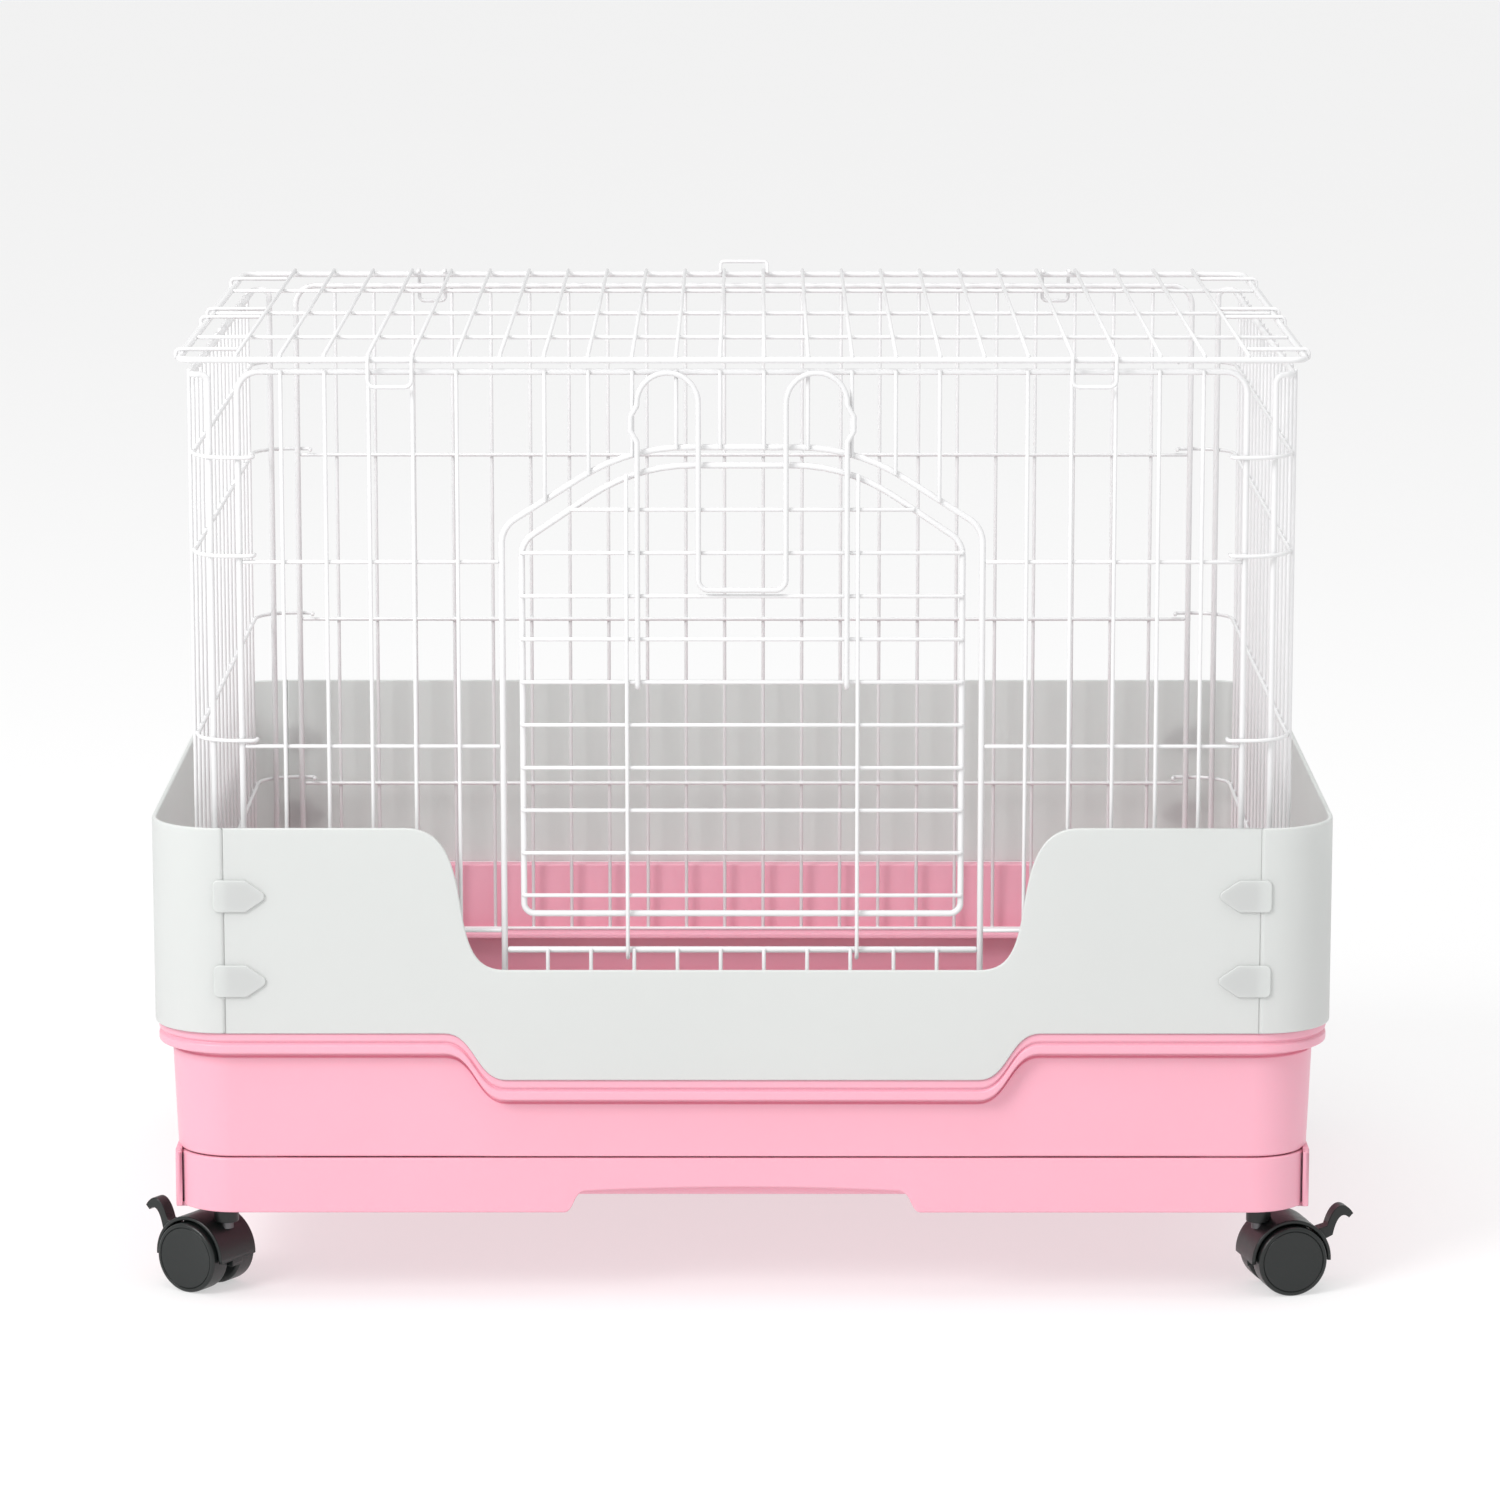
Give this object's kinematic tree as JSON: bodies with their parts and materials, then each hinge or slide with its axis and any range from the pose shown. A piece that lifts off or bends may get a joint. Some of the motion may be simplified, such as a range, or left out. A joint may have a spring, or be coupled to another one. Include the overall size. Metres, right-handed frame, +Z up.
{
  "type": "wire rabbit cage",
  "caption": "Indoor wire rabbit cage: opening wire lid, arched front door with spring latch, clear splash guard, plastic base with pull-out tray on braked castors.",
  "frame": {"origin": "on the floor, under the middle of the cage", "axes": "+X to the right as seen from the door, +Y to the back, +Z up; the door faces -Y"},
  "size_m": [0.691, 0.4732, 0.5398],
  "materials": {
    "white_wire": "glossy white powder coat",
    "latch_wire": "glossy white powder coat on spring wire",
    "guard_plastic": "milky translucent, smooth",
    "pink_plastic": "satin moulded",
    "grid_plastic": "satin moulded",
    "castor_steel": "zinc plated",
    "black_plastic": "moulded nylon"
  },
  "bodies": {
    "cage": {"base_tub": "pink_plastic", "castor_sleeves": "castor_steel", "floor_grid": "grid_plastic", "guard_front": "guard_plastic", "guard_back": "guard_plastic", "guard_left": "guard_plastic", "guard_right": "guard_plastic", "front_frame": "white_wire", "front_uprights": "white_wire", "front_rails": "white_wire", "opening_frame": "white_wire", "door_sill": "white_wire", "back_frame": "white_wire", "back_uprights": "white_wire", "back_rails": "white_wire", "left_frame": "white_wire", "left_uprights": "white_wire", "left_rails": "white_wire", "right_frame": "white_wire", "right_uprights": "white_wire", "right_rails": "white_wire"},
    "lid": {"lid_frame": "white_wire", "lid_cross_wires": "white_wire", "lid_long_wires": "white_wire", "lid_clips": "white_wire"},
    "door": {"door_frame": "white_wire", "door_rails": "white_wire", "door_hinge_rods": "white_wire"},
    "latch": {"door_latch": "latch_wire"},
    "drawer": {"drawer_tray": "pink_plastic"},
    "front_left_castor": {"front_left_stem": "castor_steel", "front_left_hood": "black_plastic", "front_left_axle": "castor_steel"},
    "front_left_outer_wheel": {"front_left_wheel_a": "black_plastic"},
    "front_left_inner_wheel": {"front_left_wheel_b": "black_plastic"},
    "front_left_brake_lever": {"front_left_brake": "black_plastic"},
    "front_right_castor": {"front_right_stem": "castor_steel", "front_right_hood": "black_plastic", "front_right_axle": "castor_steel"},
    "front_right_outer_wheel": {"front_right_wheel_a": "black_plastic"},
    "front_right_inner_wheel": {"front_right_wheel_b": "black_plastic"},
    "front_right_brake_lever": {"front_right_brake": "black_plastic"},
    "rear_left_castor": {"rear_left_stem": "castor_steel", "rear_left_hood": "black_plastic", "rear_left_axle": "castor_steel"},
    "rear_left_outer_wheel": {"rear_left_wheel_a": "black_plastic"},
    "rear_left_inner_wheel": {"rear_left_wheel_b": "black_plastic"},
    "rear_left_brake_lever": {"rear_left_brake": "black_plastic"},
    "rear_right_castor": {"rear_right_stem": "castor_steel", "rear_right_hood": "black_plastic", "rear_right_axle": "castor_steel"},
    "rear_right_outer_wheel": {"rear_right_wheel_a": "black_plastic"},
    "rear_right_inner_wheel": {"rear_right_wheel_b": "black_plastic"},
    "rear_right_brake_lever": {"rear_right_brake": "black_plastic"}
  },
  "joints": [
    {"name": "lid_hinge", "type": "hinge", "parent": "cage", "child": "lid", "pos_m": [0, 0.213, 0.524], "axis": [-1, 0, 0], "range_deg": [0, 110]},
    {"name": "door_hinge", "type": "hinge", "parent": "cage", "child": "door", "pos_m": [0, -0.213, 0.201], "axis": [1, 0, 0], "range_deg": [0, 90]},
    {"name": "latch_pivot", "type": "hinge", "parent": "door", "child": "latch", "pos_m": [0, -0.21555, 0.3523], "axis": [1, 0, 0], "range_deg": [0, 20], "stiffness_Nm_per_rad": 0.08},
    {"name": "drawer_slide", "type": "slide", "parent": "cage", "child": "drawer", "axis": [0, -1, 0], "range_m": [0, 0.38]},
    {"name": "front_left_swivel", "type": "hinge", "parent": "cage", "child": "front_left_castor", "pos_m": [-0.291, -0.193, 0.06], "axis": [0, 0, 1], "continuous": true},
    {"name": "front_left_outer_spin", "type": "hinge", "parent": "front_left_castor", "child": "front_left_outer_wheel", "pos_m": [-0.30358, -0.18483, 0.02], "axis": [-0.5446, -0.8387, 0], "continuous": true},
    {"name": "front_left_inner_spin", "type": "hinge", "parent": "front_left_castor", "child": "front_left_inner_wheel", "pos_m": [-0.30358, -0.18483, 0.02], "axis": [-0.5446, -0.8387, 0], "continuous": true},
    {"name": "front_left_brake_pivot", "type": "hinge", "parent": "front_left_castor", "child": "front_left_brake_lever", "pos_m": [-0.3191, -0.17475, 0.0305], "axis": [-0.5446, -0.8387, 0], "range_deg": [0, 15]},
    {"name": "front_right_swivel", "type": "hinge", "parent": "cage", "child": "front_right_castor", "pos_m": [0.291, -0.193, 0.06], "axis": [0, 0, 1], "continuous": true},
    {"name": "front_right_outer_spin", "type": "hinge", "parent": "front_right_castor", "child": "front_right_outer_wheel", "pos_m": [0.30562, -0.18963, 0.02], "axis": [-0.225, 0.9744, 0], "continuous": true},
    {"name": "front_right_inner_spin", "type": "hinge", "parent": "front_right_castor", "child": "front_right_inner_wheel", "pos_m": [0.30562, -0.18963, 0.02], "axis": [-0.225, 0.9744, 0], "continuous": true},
    {"name": "front_right_brake_pivot", "type": "hinge", "parent": "front_right_castor", "child": "front_right_brake_lever", "pos_m": [0.32364, -0.18546, 0.0305], "axis": [-0.225, 0.9744, 0], "range_deg": [0, 15]},
    {"name": "rear_left_swivel", "type": "hinge", "parent": "cage", "child": "rear_left_castor", "pos_m": [-0.291, 0.193, 0.06], "axis": [0, 0, 1], "continuous": true},
    {"name": "rear_left_outer_spin", "type": "hinge", "parent": "rear_left_castor", "child": "rear_left_outer_wheel", "pos_m": [-0.30562, 0.18963, 0.02], "axis": [0.225, -0.9744, 0], "continuous": true},
    {"name": "rear_left_inner_spin", "type": "hinge", "parent": "rear_left_castor", "child": "rear_left_inner_wheel", "pos_m": [-0.30562, 0.18963, 0.02], "axis": [0.225, -0.9744, 0], "continuous": true},
    {"name": "rear_left_brake_pivot", "type": "hinge", "parent": "rear_left_castor", "child": "rear_left_brake_lever", "pos_m": [-0.32364, 0.18546, 0.0305], "axis": [0.225, -0.9744, 0], "range_deg": [0, 15]},
    {"name": "rear_right_swivel", "type": "hinge", "parent": "cage", "child": "rear_right_castor", "pos_m": [0.291, 0.193, 0.06], "axis": [0, 0, 1], "continuous": true},
    {"name": "rear_right_outer_spin", "type": "hinge", "parent": "rear_right_castor", "child": "rear_right_outer_wheel", "pos_m": [0.30358, 0.18483, 0.02], "axis": [0.5446, 0.8387, 0], "continuous": true},
    {"name": "rear_right_inner_spin", "type": "hinge", "parent": "rear_right_castor", "child": "rear_right_inner_wheel", "pos_m": [0.30358, 0.18483, 0.02], "axis": [0.5446, 0.8387, 0], "continuous": true},
    {"name": "rear_right_brake_pivot", "type": "hinge", "parent": "rear_right_castor", "child": "rear_right_brake_lever", "pos_m": [0.3191, 0.17475, 0.0305], "axis": [0.5446, 0.8387, 0], "range_deg": [0, 15]}
  ]
}
